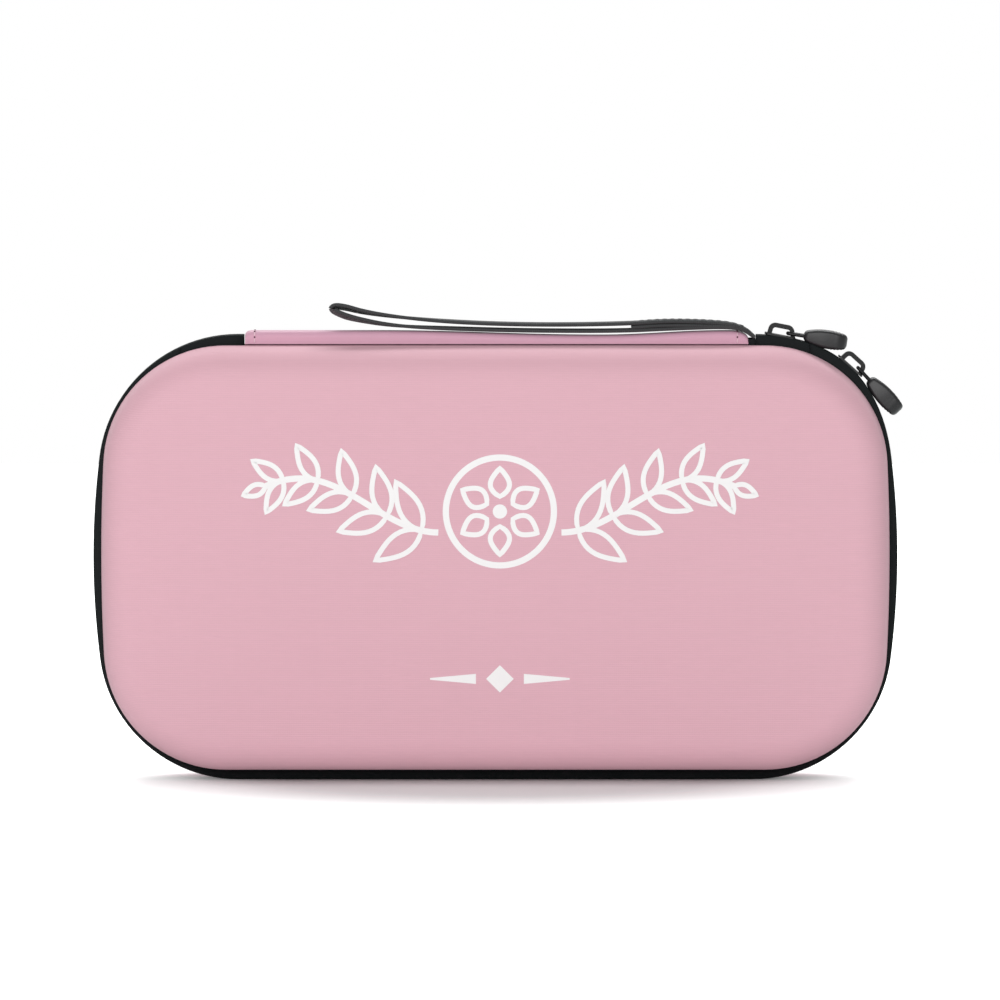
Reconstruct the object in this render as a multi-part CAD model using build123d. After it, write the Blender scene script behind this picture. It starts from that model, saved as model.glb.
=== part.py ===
from build123d import *
import math
import os

# A moulded, fabric-covered hard case, standing on the long edge of its zip.
# X runs along the case, Z is up, and the lid's printed face looks to -Y.
# The parting plane of the zip is Y = 0, and Z = 0 is the surface it stands on.
# All sizes are in millimetres.

# ---------------------------------------------------------------- outline
CASE_WIDTH = 270.0          # over the zip band
CASE_HEIGHT = 149.6         # over the zip band
CREST_CORNER_R = 46.7       # the zip band, seen from the front
CREST_SIDE_R = 268.0        # the gently bowed short sides
RIM_SIDE_STEP = 2.7         # the moulded rim lies inside the band at the sides
RIM_LONG_STEP = 3.35        # ... and along the top and the bottom
RIM_CORNER_R = 41.1
RIM_SIDE_R = 655.0

# ---------------------------------------------------------------- shells
BAND_HALF = 5.0             # parting plane to the rim of each shell
SHELL_DEPTH = 23.0          # rim to the middle of the crowned face
FACE_CROWN = 1.75           # how far the face swells over half the case
WALL_DRAFT = 6.0            # degrees, so that the moulding leaves its tool
FACE_EDGE_R = 11.0          # rounding between the wall and the face
COVER_T = 0.6               # woven cover laminated to the foam
FOAM_T = 3.4                # pressed foam
LINING_T = 0.5              # brushed lining
GLUE_LINE = 0.05            # between laminated or sewn layers
BINDING_T = 0.55            # tape bound over the inner edge of the rim
BINDING_LEG = 4.0           # how far it runs into the shell

# ---------------------------------------------------------------- zip
TAPE_T = 0.6
TAPE_FLAT = 3.8             # half the width of the flat crest of the band
TAPE_EDGE_GAP = 0.35        # half the gap between the two tape edges
TAPE_ROLL_STEPS = 3         # facets of the tape's quarter turn to the rim
SEAM_ANGLE = 24.0           # corner angle at which the closed ends stop
SEAM_GAP = 0.4              # between a closed end and the long tapes
COIL_W = 1.35               # one half of the chain
COIL_H = 1.4
LID_COIL_FROM = 84.0        # the lid's chain starts below the running slider

# ---------------------------------------------------------------- hinge strip
HINGE_HALF_W = 4.7          # half the strip's width, front to back
HINGE_RISE = 4.7            # its crown, over the fold lines
HINGE_DIP = 1.5             # how far the crown sinks under the strap
HINGE_DIP_X = 35.0          # the lowest spot
HINGE_DIP_LEFT = 75.0       # how far the dip reaches to each side of it
HINGE_DIP_RIGHT = 42.0
HINGE_FOOT = 0.35           # its edges stop this far over the fold lines
HINGE_SHOULDER_R = 2.3
HINGE_T = 1.0
HINGE_LINING_T = 0.5
HINGE_LEFT_STEP = 2.6       # from the end of the straight run of the band
HINGE_RIGHT_STEP = 1.7
HINGE_LEFT_RUN = 2.0        # the crown falls toward the strip's ends over a run
HINGE_LEFT_FALL = 1.4
HINGE_RIGHT_RUN = 6.0
HINGE_RIGHT_FALL = 2.6
HINGE_STEP = 7.0            # between the sections of its form
HINGE_END_SHARES = (0.25, 0.5, 0.75, 1.0)
FOLD_CLEARANCE = 0.3        # closed zip ends to the rims beside them

# ---------------------------------------------------------------- sliders
SLIDER_L = 10.4
SLIDER_HALF_W = 4.1
SLIDER_TAIL_HALF_W = 3.3
SLIDER_PLATE_T = 0.6
SLIDER_SLOT = 2.8           # the side slot that the tapes run through
SLIDER_CHANNEL = 4.2        # depth of the channel for the chain
SLIDER_BASE_T = 0.8
SLIDER_FLANGE_T = 1.1
SLIDER_WEB_HALF = 0.25      # the divider, between the tape edges
SLIDER_WEB_L = 2.6
SLIDER_1_ANGLE = 11.0       # where each slider stands on the corner arc
SLIDER_2_ANGLE = 42.0
SLIDER_1_LIFT = 0.15        # underside of the top plate over the tape
SLIDER_2_LIFT = 1.65
BAIL_T = 1.5                # the bridge that the pull swings in
BAIL_W = 2.6
BAIL_HEIGHT = 3.55          # centre line of its bar over the plate's underside
BAIL_LEFT = 3.7             # its feet, from the slider's middle
BAIL_RIGHT = 4.5
BAIL_LEAN_LEFT = 0.3        # how far each leg leans in by the top
BAIL_LEAN_RIGHT = 1.1
BAIL_CORNER_R = 1.6

# ---------------------------------------------------------------- pulls
EYE_X = 2.45                # the link's cross bar, from the slider's middle
EYE_Z = 1.6                 # ... and over the underside of the top plate
LINK_R = 0.6
LINK_BEND_R = 0.72
LINK_HALF_W = 2.05          # arms of the link, beside the bridge
TAG_FROM = 5.4              # the moulded tag, from the eye
TAG_L = 14.7
TAG_HALF_W = 4.5
TAG_T = 5.5
TAG_NEAR_T = 3.0
TAG_FAR_T = 3.9
TAG_EDGE_R = 0.7
TAG_RIBS = 4
TAG_RIB_H = 0.3
TAG_RIB_W = 0.5
TAG_RIB_FROM = 1.6          # first rib, from the far end
TAG_RIB_STEP = 1.1
PULL_1_TILT = 2.0           # degrees over the slider's own direction
PULL_2_TILT = -5.0

# ---------------------------------------------------------------- wrist strap
STRAP_T = 1.3
STRAP_HALF_W = 4.6
STRAP_ROOT_STEP = 1.25      # its sewn root, right of the hinge strip's end
STRAP_ROOT_DROP = 0.1       # ... and below the crest of the band
STRAP_ROOT_R = 0.85
STRAP_ROOT_GAP = 0.5        # to the closed end of the zip
STRAP_TAIL_T = 1.4          # the sewn tail between the two layers
# The webbing's centre line: distance left of the root, height over it.
STRAP_UPPER = [(0, 0), (2.2, 2.1), (8.5, 4.1), (28.0, 4.8), (42.0, 3.7), (75.0, 3.3),
               (105.0, 4.5), (128.0, 7.0), (139.0, 9.9)]
STRAP_TIP = [(141.2, 8.8)]
STRAP_LOWER = [(139.2, 7.3), (134.0, 5.4), (120.0, 2.9), (100.0, 2.05), (75.0, 1.4),
               (45.0, 1.3), (28.0, 2.1), (8.5, 2.8), (2.7, 1.8)]
STRAP_TAIL = [(7.0, 3.1), (28.0, 3.5), (37.0, 2.7)]

# ---------------------------------------------------------------- inside
HOLD_W = 20.0               # hook-and-loop strap over the instrument
HOLD_T = 1.0
HOLD_REACH = 48.0           # its sewn ends, from the middle of the floor
HOLD_OVERLAP = 15.0
HOLD_FLOOR_GAP = 0.3
PATCH_T = 0.6
PATCH_L = 26.0
PATCH_W = 18.0
HOLD_BEND_R = 3.0
NET_T = 0.5
NET_TOP = 82.0              # top edge of the net over the standing surface
NET_GAP = 0.2               # net to the end of the binding
HEM_H = 9.0
HEM_T = 1.6

# ---------------------------------------------------------------- worked out
MID_Z = CASE_HEIGHT / 2
WALL_T = COVER_T + FOAM_T + LINING_T
DRAFT = math.tan(math.radians(WALL_DRAFT))


class Outline:
    """A rounded rectangle with bowed short sides, seen from the front."""

    def __init__(self, half_width, half_height, corner_r, side_r):
        self.half_width = half_width
        self.half_height = half_height
        self.corner_r = corner_r
        self.side_r = side_r
        rise = half_height - corner_r
        run = math.sqrt((side_r - corner_r) ** 2 - rise ** 2)
        self.corner_x = half_width - side_r + run
        self.corner_z = rise
        self.side_angle = math.degrees(math.atan2(rise, run))

    def inset(self, distance):
        """The parallel outline that lies inside this one."""
        return Outline(self.half_width - distance, self.half_height - distance,
                       self.corner_r - distance, self.side_r - distance)

    def toward(self, other, share):
        """An outline between this one and the other."""
        def mix(a, b):
            return a + (b - a) * share
        return Outline(mix(self.half_width, other.half_width),
                       mix(self.half_height, other.half_height),
                       mix(self.corner_r, other.corner_r),
                       mix(self.side_r, other.side_r))

    def on_corner(self, angle, right, up):
        """A point of a corner arc, by its angle over the horizontal."""
        turn = math.radians(angle)
        x = self.corner_x + self.corner_r * math.cos(turn)
        z = self.corner_z + self.corner_r * math.sin(turn)
        return (right * x, up * z)

    def face(self, y):
        """The outline as a flat face across the case at depth y."""
        edges = []
        middle = (self.side_angle + 90) / 2
        for right in (1, -1):
            edges.append(ThreePointArc(self.on_corner(self.side_angle, right, -1),
                                       (right * self.half_width, 0),
                                       self.on_corner(self.side_angle, right, 1)))
        for up in (1, -1):
            edges.append(Line(self.on_corner(90, -1, up), self.on_corner(90, 1, up)))
            for right in (1, -1):
                edges.append(ThreePointArc(self.on_corner(self.side_angle, right, up),
                                           self.on_corner(middle, right, up),
                                           self.on_corner(90, right, up)))
        across = Plane(origin=(0, y, MID_Z), x_dir=(1, 0, 0), z_dir=(0, -1, 0))
        return across * make_face(edges)


CREST = Outline(CASE_WIDTH / 2, CASE_HEIGHT / 2, CREST_CORNER_R, CREST_SIDE_R)
RIM = Outline(CASE_WIDTH / 2 - RIM_SIDE_STEP, CASE_HEIGHT / 2 - RIM_LONG_STEP,
              RIM_CORNER_R, RIM_SIDE_R)
FOLD_Z = MID_Z + RIM.half_height                # the two fold lines of the spine
CORNER_X = CREST.corner_x                       # centre of the top right corner
CORNER_Z = MID_Z + CREST.corner_z
SEAM_X = CORNER_X + CREST_CORNER_R * math.sin(math.radians(SEAM_ANGLE))
HINGE_LEFT = -CORNER_X + HINGE_LEFT_STEP
HINGE_RIGHT = CORNER_X - HINGE_RIGHT_STEP
ROOT_X = HINGE_RIGHT + STRAP_ROOT_STEP
ROOT_Z = CASE_HEIGHT - STRAP_ROOT_DROP
END_RIGHT_FROM = ROOT_X + STRAP_ROOT_R + STRAP_ROOT_GAP
END_LEFT_FROM = HINGE_LEFT - SEAM_GAP


def front_box(x0, x1, y0, y1, z0, z1):
    """A block between two corners."""
    size = (x1 - x0, y1 - y0, z1 - z0)
    centre = ((x0 + x1) / 2, (y0 + y1) / 2, (z0 + z1) / 2)
    return Pos(*centre) * Box(*size)


def other_side(part):
    """The same piece on the other side of the parting plane."""
    return mirror(part, about=Plane.XZ)


# ---------------------------------------------------------------- shells
def crowned_block(apex_y):
    """Everything behind a face that swells gently to apex_y in the middle."""
    long_r = RIM.half_width ** 2 / (2 * FACE_CROWN)
    short_r = RIM.half_height ** 2 / (2 * FACE_CROWN)
    reach = CASE_HEIGHT
    sag = short_r - math.sqrt(short_r ** 2 - reach ** 2)
    back = apex_y - sag - SHELL_DEPTH
    profile = make_face([
        ThreePointArc((apex_y - sag, -reach), (apex_y, 0), (apex_y - sag, reach)),
        Line((apex_y - sag, reach), (back, reach)),
        Line((back, reach), (back, -reach)),
        Line((back, -reach), (apex_y - sag, -reach))])
    half_turn = math.degrees(math.asin(CASE_WIDTH / long_r))
    axis = Axis((0, apex_y - long_r, 0), (0, 0, 1))
    placed = Pos(0, 0, MID_Z) * (Plane.YZ * profile)
    swept = revolve(placed, axis, 2 * half_turn)
    return swept.rotate(axis, -half_turn)


def drafted(inset, to_y):
    """The moulded walls, laid in by an inset, from the rim to to_y."""
    rim = RIM.inset(inset)
    far = rim.inset((to_y - BAND_HALF) * DRAFT)
    return loft([rim.face(BAND_HALF), far.face(to_y)], ruled=True)


def shell_form(inset):
    """The whole bowl of a shell, laid in by an inset from its outside."""
    apex_y = BAND_HALF + SHELL_DEPTH - inset
    bowl = drafted(inset, apex_y + FACE_CROWN) & crowned_block(apex_y)
    far_edges = bowl.edges().filter_by_position(Axis.Y, apex_y - SHELL_DEPTH / 4,
                                                apex_y + FACE_CROWN)
    return fillet(far_edges, FACE_EDGE_R - inset)


def cover_fabric():
    return shell_form(0) - shell_form(COVER_T)


def foam_shell():
    return shell_form(COVER_T + GLUE_LINE) - shell_form(COVER_T + FOAM_T)


def lining():
    return shell_form(COVER_T + FOAM_T + GLUE_LINE) - shell_form(WALL_T)


def rim_binding():
    """An L-shaped tape over the inner edge of the rim."""
    outer = RIM.inset(TAPE_T + FOLD_CLEARANCE)
    inner = RIM.inset(WALL_T + GLUE_LINE + BINDING_T)
    y0 = BAND_HALF - GLUE_LINE - BINDING_T
    lip = extrude(outer.face(y0), BINDING_T, dir=(0, 1, 0))
    lip -= extrude(inner.face(y0), BINDING_T, dir=(0, 1, 0))
    to_y = BAND_HALF + BINDING_LEG
    leg = drafted(WALL_T + GLUE_LINE, to_y) - drafted(WALL_T + GLUE_LINE + BINDING_T, to_y)
    neck = RIM.inset(WALL_T + GLUE_LINE)
    joint = extrude(neck.face(BAND_HALF - GLUE_LINE), GLUE_LINE, dir=(0, 1, 0))
    joint -= extrude(inner.face(BAND_HALF - GLUE_LINE), GLUE_LINE, dir=(0, 1, 0))
    return lip + joint + leg


# ---------------------------------------------------------------- zip
def tape_form(inset, edge_y):
    """The space inside a zip tape: a flat crest that rolls over to the rim."""
    crest = CREST.inset(inset)
    flat = extrude(crest.face(TAPE_EDGE_GAP), TAPE_FLAT - TAPE_EDGE_GAP, dir=(0, 1, 0))
    sections = []
    for step in range(TAPE_ROLL_STEPS + 1):
        turn = math.pi / 2 * step / TAPE_ROLL_STEPS
        share = 1 - math.cos(turn)
        y = TAPE_FLAT + (edge_y - TAPE_FLAT) * math.sin(turn)
        sections.append(CREST.toward(RIM, share).inset(inset).face(y))
    return flat + loft(sections, ruled=True)


def tape_ring(edge_y):
    return tape_form(0, edge_y) - tape_form(TAPE_T, edge_y)


def coil_ring():
    """One half of the chain, sewn to the inner face of the tape."""
    outer = CREST.inset(TAPE_T + GLUE_LINE)
    inner = CREST.inset(TAPE_T + COIL_H)
    ring = outer.face(TAPE_EDGE_GAP) - inner.face(TAPE_EDGE_GAP)
    return extrude(ring, COIL_W, dir=(0, 1, 0))


def upper_zone(x0, x1):
    """The part of the case's upper half between two distances along it."""
    return front_box(x0, x1, -BAND_HALF, BAND_HALF, MID_Z, CASE_HEIGHT)


def long_run(ring):
    """A ring of the zip without the stretch that the spine carries."""
    half_gap = SEAM_GAP / 2
    return ring - upper_zone(-SEAM_X - half_gap, SEAM_X + half_gap)


def zip_tape():
    return long_run(tape_ring(BAND_HALF - GLUE_LINE))


def base_coil():
    return long_run(coil_ring())


def lid_coil():
    """The lid's half of the chain, clear of the corner that slider 2 runs on."""
    turn = math.radians(LID_COIL_FROM)
    corner = front_box(0, CASE_WIDTH, -BAND_HALF, BAND_HALF,
                       CORNER_Z + CREST_CORNER_R * math.cos(turn), CASE_HEIGHT)
    return other_side(long_run(coil_ring()) - corner)


def zip_end(ring, x0, x1):
    """A short closed stretch of the zip, both halves, carried by the spine."""
    half = ring & upper_zone(x0, x1)
    return half + other_side(half)


def end_tape(x0, x1):
    return zip_end(tape_ring(BAND_HALF - FOLD_CLEARANCE), x0, x1)


def end_tape_right():
    """The right closed end, which runs on low under the root of the wrist strap."""
    root = end_tape(HINGE_RIGHT + SEAM_GAP, END_RIGHT_FROM)
    root &= front_box(0, CASE_WIDTH, -BAND_HALF, BAND_HALF, 0,
                      ROOT_Z - STRAP_ROOT_R - STRAP_ROOT_GAP)
    return root + end_tape(END_RIGHT_FROM, SEAM_X - SEAM_GAP / 2)


def end_coil(x0, x1):
    return zip_end(coil_ring(), x0, x1)


# ---------------------------------------------------------------- hinge strip
def crown_height(x):
    """Height of the strip's crown over the fold lines, at a distance along it."""
    away = x - HINGE_DIP_X
    reach = HINGE_DIP_RIGHT if away > 0 else HINGE_DIP_LEFT
    height = HINGE_RISE
    if abs(away) < reach:
        height -= HINGE_DIP * (1 + math.cos(math.pi * away / reach)) / 2
    for inward, run, fall in ((x - HINGE_LEFT, HINGE_LEFT_RUN, HINGE_LEFT_FALL),
                              (HINGE_RIGHT - x, HINGE_RIGHT_RUN, HINGE_RIGHT_FALL)):
        if inward < run:
            height -= fall * (1 - math.sqrt(1 - (1 - inward / run) ** 2))
    return height


def hinge_stations(left, right):
    """Distances along the strip, closer together where its crown falls."""
    middle_from = HINGE_LEFT + HINGE_LEFT_RUN
    middle_to = HINGE_RIGHT - HINGE_RIGHT_RUN
    count = math.ceil((middle_to - middle_from) / HINGE_STEP)
    places = [middle_from + (middle_to - middle_from) * i / count for i in range(count + 1)]
    for share in HINGE_END_SHARES:
        places.insert(0, left + (middle_from - left) * (1 - share))
        places.append(right - (right - middle_to) * (1 - share))
    return places


def hinge_form(inset):
    """The strip's arch, sunk under the strap and rounded at both ends."""
    half_w = HINGE_HALF_W - inset
    foot = FOLD_Z - HINGE_RISE
    sections = []
    for x in hinge_stations(HINGE_LEFT + inset, HINGE_RIGHT - inset):
        crown = FOLD_Z + crown_height(x) - inset
        arch = make_face(Polyline((-half_w, foot), (half_w, foot), (half_w, crown),
                                  (-half_w, crown), close=True))
        arch = fillet(arch.vertices().group_by(Axis.Y)[-1], HINGE_SHOULDER_R - inset)
        sections.append(Pos(x, 0, 0) * (Plane.YZ * arch))
    over_foot = front_box(-CASE_WIDTH, CASE_WIDTH, -HINGE_HALF_W, HINGE_HALF_W,
                          FOLD_Z + HINGE_FOOT, FOLD_Z + HINGE_RISE)
    return loft(sections, ruled=True) & over_foot


def hollow_arch(outside, inside):
    """The cloth between two forms of the arch, open along its foot."""
    return hinge_form(outside) - hinge_form(inside)


def hinge_strip():
    return hollow_arch(0, HINGE_T)


def hinge_lining():
    inset = HINGE_T + GLUE_LINE
    return hollow_arch(inset, inset + HINGE_LINING_T)


# ---------------------------------------------------------------- sliders
def bail():
    """The bridge over the slider, a bar bent to a flat arch."""
    line = FilletPolyline((-BAIL_LEFT, 0), (-BAIL_LEFT + BAIL_LEAN_LEFT, BAIL_HEIGHT),
                          (BAIL_RIGHT - BAIL_LEAN_RIGHT, BAIL_HEIGHT), (BAIL_RIGHT, 0),
                          radius=BAIL_CORNER_R)
    return extrude(Plane.XZ * trace(line, BAIL_T), BAIL_W / 2, both=True)


def slider():
    """Plates, side flanges, divider and bridge of one slider, nose to +X."""
    half_l = SLIDER_L / 2
    plan = make_face(Polyline((-half_l, -SLIDER_TAIL_HALF_W), (half_l, -SLIDER_HALF_W),
                              (half_l, SLIDER_HALF_W), (-half_l, SLIDER_TAIL_HALF_W),
                              close=True))
    plan = fillet(plan.vertices(), SLIDER_FLANGE_T)
    top = extrude(plan, SLIDER_PLATE_T)
    depth = SLIDER_CHANNEL + SLIDER_BASE_T
    body = extrude(plan, -depth)
    body -= front_box(-half_l, half_l, -SLIDER_HALF_W, SLIDER_HALF_W, -SLIDER_SLOT, 0)
    inner = SLIDER_TAIL_HALF_W - SLIDER_FLANGE_T
    body -= front_box(-half_l, half_l, -inner, inner, -SLIDER_CHANNEL, -SLIDER_SLOT)
    web = front_box(half_l - SLIDER_WEB_L, half_l - SLIDER_FLANGE_T,
                    -SLIDER_WEB_HALF, SLIDER_WEB_HALF, -SLIDER_CHANNEL, 0)
    arch = bail() & front_box(-half_l, half_l, -BAIL_W, BAIL_W, 0, SLIDER_L)
    return top + body + web + arch


def pull_link():
    """A wire loop through the bridge; its eye is at the origin."""
    arm_l = TAG_FROM + TAG_L / 2
    path = FilletPolyline((arm_l, -LINK_HALF_W, 0), (0, -LINK_HALF_W, 0),
                          (0, LINK_HALF_W, 0), (arm_l, LINK_HALF_W, 0),
                          radius=LINK_BEND_R)
    start = Plane(origin=path @ 0, z_dir=path % 0)
    return sweep(start * Circle(LINK_R), path=path)


def tag_lens(grow):
    """The lens shape of the grip along +X, its skin moved out by grow."""
    x0 = TAG_FROM
    x1 = TAG_FROM + TAG_L
    xm = (x0 + x1) / 2
    near, middle, far = (t / 2 + grow for t in (TAG_NEAR_T, TAG_T, TAG_FAR_T))
    side = make_face([ThreePointArc((x0, near), (xm, middle), (x1, far)),
                      Line((x1, far), (x1, -far)),
                      ThreePointArc((x1, -far), (xm, -middle), (x0, -near)),
                      Line((x0, -near), (x0, near))])
    neck = LINK_HALF_W + LINK_R + TAG_EDGE_R
    half_w = TAG_HALF_W - TAG_RIB_H + grow
    plan = make_face(Polyline((x0, -neck), (xm, -half_w), (x1, -half_w), (x1, half_w),
                              (xm, half_w), (x0, neck), close=True))
    plan = fillet(plan.vertices().group_by(Axis.X)[-1], half_w - TAG_EDGE_R)
    lens = extrude(Plane.XZ * side, half_w, both=True) & extrude(plan, TAG_T, both=True)
    return fillet(lens.edges(), TAG_EDGE_R)


def pull_tag():
    """The moulded grip with ribs round its far end and sockets for the link."""
    body = tag_lens(0)
    ribbed = tag_lens(TAG_RIB_H)
    for rib in range(TAG_RIBS):
        x = TAG_FROM + TAG_L - TAG_RIB_FROM - rib * TAG_RIB_STEP
        body += ribbed & front_box(x, x + TAG_RIB_W, -TAG_T, TAG_T, -TAG_T, TAG_T)
    socket_l = TAG_L / 2 + GLUE_LINE
    for side_y in (-LINK_HALF_W, LINK_HALF_W):
        socket = Pos(TAG_FROM + socket_l / 2, side_y, 0) * Rot(0, 90, 0)
        body -= socket * Cylinder(LINK_R + GLUE_LINE, socket_l)
    return body


def place_on_corner(part, angle, lift):
    """Stand a part on the crest of the band at an angle past the straight run."""
    turn = math.radians(angle)
    radius = CREST_CORNER_R + lift
    spot = (CORNER_X + radius * math.sin(turn), 0, CORNER_Z + radius * math.cos(turn))
    return Pos(*spot) * (Rot(0, angle, 0) * part)


def place_pull(part, angle, lift, tilt):
    """Hang a pull in the bridge of the slider that stands at an angle."""
    hung = Pos(EYE_X, 0, EYE_Z) * (Rot(0, -tilt, 0) * part)
    return place_on_corner(hung, angle, lift)


# ---------------------------------------------------------------- wrist strap
def gentle_line(points):
    """A line through points whose corners are as round as their runs allow."""
    radii = []
    for before, here, after in zip(points, points[1:], points[2:]):
        arrive = Vector(*here) - Vector(*before)
        leave = Vector(*after) - Vector(*here)
        half_turn = math.radians(arrive.get_angle(leave)) / 2
        radii.append(0.45 * min(arrive.length, leave.length) / math.tan(half_turn))
    return FilletPolyline(*points, radius=radii)


def strap_layer(points, thickness):
    """A stretch of the webbing, seen from the front."""
    placed = [(ROOT_X - left, ROOT_Z + up) for left, up in points]
    return trace(gentle_line(placed), thickness)


def wrist_strap():
    """The webbing loop: two layers, the sewn tail and the round of the root."""
    body = strap_layer(STRAP_UPPER + STRAP_TIP + STRAP_LOWER, STRAP_T)
    body += strap_layer(STRAP_LOWER[-2:] + STRAP_UPPER[:1], STRAP_T)
    body += strap_layer(STRAP_TAIL, STRAP_TAIL_T)
    body += Pos(ROOT_X, ROOT_Z) * Circle(STRAP_ROOT_R)
    return extrude(Plane.XZ * body, STRAP_HALF_W, both=True)


# ---------------------------------------------------------------- inside
def floor_y(along_z):
    """Depth of the base's lining at a height away from the middle."""
    short_r = RIM.half_height ** 2 / (2 * FACE_CROWN)
    return BAND_HALF + SHELL_DEPTH - WALL_T - along_z ** 2 / (2 * short_r)


HOLD_Y = floor_y(HOLD_REACH) - HOLD_FLOOR_GAP     # under side of the strap's ends


def hold_strap_lower():
    """The short end of the hold-down strap, flat on the floor of the base."""
    return front_box(-HOLD_W / 2, HOLD_W / 2, HOLD_Y - HOLD_T, HOLD_Y,
                     MID_Z - HOLD_REACH, MID_Z + HOLD_OVERLAP)


def hold_strap_upper():
    """The long end, which steps up and laps over the short one."""
    low = HOLD_Y - HOLD_T / 2
    high = low - HOLD_T - 2 * PATCH_T
    step = HOLD_OVERLAP + PATCH_L / 2
    line = FilletPolyline((low, MID_Z + HOLD_REACH), (low, MID_Z + step),
                          (high, MID_Z + HOLD_OVERLAP + HOLD_BEND_R),
                          (high, MID_Z - HOLD_OVERLAP), radius=HOLD_BEND_R)
    return extrude(Plane.YZ * trace(line, HOLD_T), HOLD_W / 2, both=True)


def patch(above):
    """A hook or loop patch between the two ends of the hold-down strap."""
    y1 = HOLD_Y - HOLD_T - above
    return front_box(-PATCH_W / 2, PATCH_W / 2, y1 - PATCH_T, y1,
                     MID_Z - PATCH_L / 2, MID_Z + PATCH_L / 2)


def net_panel(z0, z1, thickness, centre_y):
    """A flat panel across the inside of the lid, cut to the lining."""
    wall_inset = WALL_T + NET_GAP + (centre_y + thickness / 2 - BAND_HALF) * DRAFT
    y0 = centre_y - thickness / 2
    panel = extrude(RIM.inset(wall_inset).face(y0), thickness, dir=(0, 1, 0))
    panel &= front_box(-CASE_WIDTH, CASE_WIDTH, y0, y0 + thickness, z0, z1)
    return other_side(panel)


NET_Y = BAND_HALF + BINDING_LEG + NET_GAP + HEM_T / 2


def net_pocket():
    return net_panel(0, NET_TOP, NET_T, NET_Y)


def pocket_hem():
    return net_panel(NET_TOP, NET_TOP + HEM_H, HEM_T, NET_Y)


# ---------------------------------------------------------------- output
def build():
    """Every piece of the case by its name."""
    pieces = {
        "base_cover_fabric": cover_fabric(),
        "base_foam_shell": foam_shell(),
        "base_lining": lining(),
        "base_rim_binding": rim_binding(),
        "base_zip_tape": zip_tape(),
        "base_zip_coil": base_coil(),
        "hold_down_strap_lower": hold_strap_lower(),
        "hold_down_strap_upper": hold_strap_upper(),
        "loop_patch": patch(0),
        "hook_patch": patch(PATCH_T),
        "lid_zip_coil": lid_coil(),
        "net_pocket": net_pocket(),
        "pocket_hem": pocket_hem(),
        "hinge_strip": hinge_strip(),
        "hinge_lining": hinge_lining(),
        "zip_end_tape_right": end_tape_right(),
        "zip_end_coil_right": end_coil(END_RIGHT_FROM, SEAM_X - SEAM_GAP / 2),
        "zip_end_tape_left": end_tape(-SEAM_X + SEAM_GAP / 2, END_LEFT_FROM),
        "zip_end_coil_left": end_coil(-SEAM_X + SEAM_GAP / 2, END_LEFT_FROM),
        "wrist_strap": wrist_strap(),
    }
    for name in ("cover_fabric", "foam_shell", "lining", "rim_binding", "zip_tape"):
        pieces["lid_" + name] = other_side(pieces["base_" + name])
    sliders = ((1, SLIDER_1_ANGLE, SLIDER_1_LIFT, PULL_1_TILT),
               (2, SLIDER_2_ANGLE, SLIDER_2_LIFT, PULL_2_TILT))
    for number, angle, lift, tilt in sliders:
        pieces[f"slider_{number}"] = place_on_corner(slider(), angle, lift)
        pieces[f"pull_link_{number}"] = place_pull(pull_link(), angle, lift, tilt)
        pieces[f"pull_tag_{number}"] = place_pull(pull_tag(), angle, lift, tilt)
    return pieces


os.makedirs("parts", exist_ok=True)
for node, piece in build().items():
    export_step(piece, f"parts/{node}.step")
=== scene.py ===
import bpy
import bmesh
import math
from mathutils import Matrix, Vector

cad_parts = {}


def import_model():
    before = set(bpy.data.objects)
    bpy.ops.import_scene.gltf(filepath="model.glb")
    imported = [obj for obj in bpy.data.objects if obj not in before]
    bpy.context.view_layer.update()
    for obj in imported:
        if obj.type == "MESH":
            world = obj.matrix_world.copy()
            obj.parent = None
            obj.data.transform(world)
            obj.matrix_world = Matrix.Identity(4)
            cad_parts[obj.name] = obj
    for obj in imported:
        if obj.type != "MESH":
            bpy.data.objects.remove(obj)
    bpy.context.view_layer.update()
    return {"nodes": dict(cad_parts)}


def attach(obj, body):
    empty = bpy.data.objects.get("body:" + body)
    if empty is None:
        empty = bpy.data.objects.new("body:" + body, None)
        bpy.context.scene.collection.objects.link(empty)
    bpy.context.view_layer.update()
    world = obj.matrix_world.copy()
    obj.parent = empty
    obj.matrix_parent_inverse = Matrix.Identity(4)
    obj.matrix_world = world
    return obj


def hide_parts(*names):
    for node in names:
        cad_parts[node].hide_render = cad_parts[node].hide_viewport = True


# A fabric-covered hard case on a white table, seen from the front.
# The sizes are written in millimetres and turned into metres by MM.
MM = 0.001
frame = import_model()

# ---------------------------------------------------------------- case
CASE_WIDTH = 270.0
CASE_HEIGHT = 149.6
CREST_CORNER_R = 46.7
CREST_SIDE_R = 268.0
RIM_SIDE_STEP = 2.7
RIM_LONG_STEP = 3.35
RIM_CORNER_R = 41.1
RIM_SIDE_R = 655.0
BAND_HALF = 5.0
SHELL_DEPTH = 23.0
FACE_CROWN = 1.75
WALL_DRAFT = math.radians(6.0)
FACE_EDGE_R = 11.0
COVER_T = 0.6
WALL_T = 4.5
BINDING_T = 0.55
BINDING_LEG = 4.0
LIP_R = 0.25               # the cover's turned edge at the rim
TAPE_T = 0.6
TAPE_FLAT = 3.8
TAPE_EDGE_GAP = 0.06
SEAM_X = 105.5
SEAM_GAP = 0.04
END_LEFT_TO = -84.31        # the closed ends of the zip, beside the spine strip
END_RIGHT_FROM = 87.41
END_LOW_BY = 0.3            # the right end passes this far under the strap's root
TAPE_SWELL = 1.75           # the sliders hold the tapes up on their corner
MID_Z = CASE_HEIGHT / 2
RUN_STEPS = 24              # columns along each of the outline's eight runs

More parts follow.
